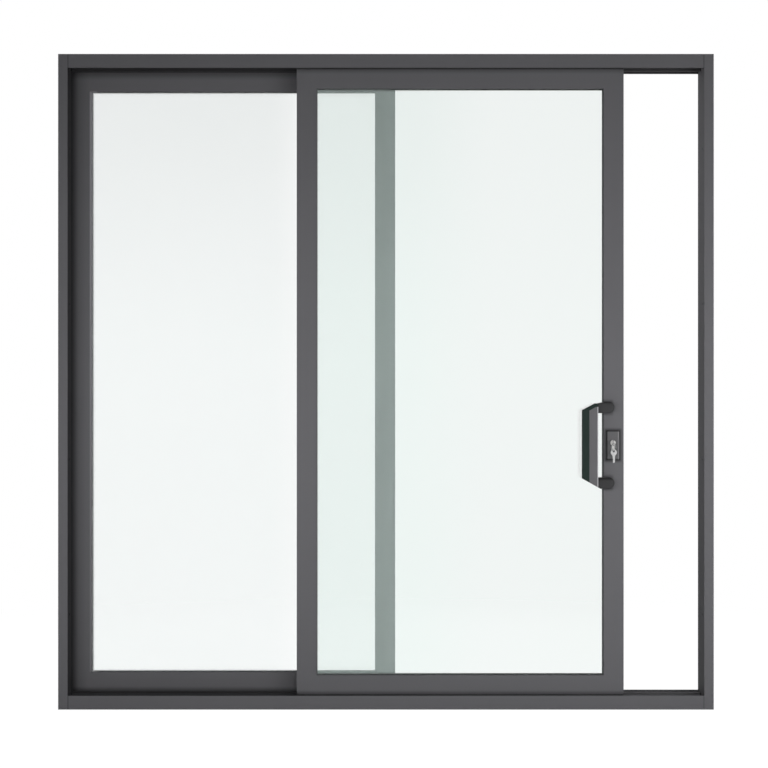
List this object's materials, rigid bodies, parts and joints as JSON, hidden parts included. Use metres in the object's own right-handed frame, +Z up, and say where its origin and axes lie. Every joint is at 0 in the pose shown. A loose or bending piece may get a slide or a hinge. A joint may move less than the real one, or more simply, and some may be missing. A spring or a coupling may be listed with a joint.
{
  "type": "sliding patio door",
  "caption": "Glazed patio door in a two-track metal frame: one fixed panel and one panel that slides in front of it, with a pull handle and a key lock.",
  "frame": {"origin": "middle of the sill's underside", "axes": "+X to the right seen from the handle side, +Y from the handle side through the door to the back, +Z up"},
  "size_m": [2.1, 0.154, 2.1],
  "materials": {
    "frame_paint": "matt powder coat",
    "panel_paint": "matt powder coat",
    "handle_paint": "satin powder coat",
    "lock_paint": "satin powder coat",
    "lock_metal": "satin nickel",
    "key_metal": "bright nickel",
    "rail_steel": "drawn stainless steel",
    "nylon": "moulded",
    "gasket": "matt",
    "spacer": "satin",
    "glass": "clear, slightly green"
  },
  "bodies": {
    "frame": {"left_jamb": "frame_paint", "right_jamb": "frame_paint", "head": "frame_paint", "sill": "frame_paint", "track_rail": "frame_paint", "fixed_outer_stile": "panel_paint", "fixed_meeting_stile": "panel_paint", "fixed_bottom_rail": "panel_paint", "fixed_top_rail": "panel_paint", "fixed_interlock": "panel_paint", "fixed_front_pane": "glass", "fixed_rear_pane": "glass", "fixed_spacer_bar": "spacer", "fixed_front_gasket": "gasket", "fixed_rear_gasket": "gasket"},
    "sliding_panel": {"sliding_meeting_stile": "panel_paint", "sliding_lock_stile": "panel_paint", "sliding_bottom_rail": "panel_paint", "sliding_top_rail": "panel_paint", "sliding_interlock": "panel_paint", "sliding_front_pane": "glass", "sliding_rear_pane": "glass", "sliding_spacer_bar": "spacer", "sliding_front_gasket": "gasket", "sliding_rear_gasket": "gasket", "left_carriage": "nylon", "right_carriage": "nylon", "left_wheel": "rail_steel", "right_wheel": "rail_steel", "left_guide": "nylon", "right_guide": "nylon", "handle_bow": "handle_paint", "upper_post": "handle_paint", "lower_post": "handle_paint", "lock_plate": "lock_paint", "lock_cylinder": "lock_metal"},
    "turning_key": {"key_plug": "lock_metal", "lock_key": "key_metal", "key_ring": "key_metal"},
    "hanging_key": {"spare_key": "key_metal"}
  },
  "joints": [
    {"name": "panel_slide", "type": "slide", "parent": "frame", "child": "sliding_panel", "axis": [1, 0, 0], "range_m": [-0.7285, 0.2515]},
    {"name": "key_turn", "type": "hinge", "parent": "sliding_panel", "child": "turning_key", "pos_m": [0.729, -0.05, 0.854], "axis": [0, 1, 0], "range_deg": [-90, 90]},
    {"name": "spare_key_swing", "type": "hinge", "parent": "turning_key", "child": "hanging_key", "pos_m": [0.729, -0.066, 0.828], "axis": [0, 1, 0], "range_deg": [-90, 90]}
  ],
  "couplings": [
    {"joint": "spare_key_swing", "follows": "key_turn", "ratio": -1}
  ]
}
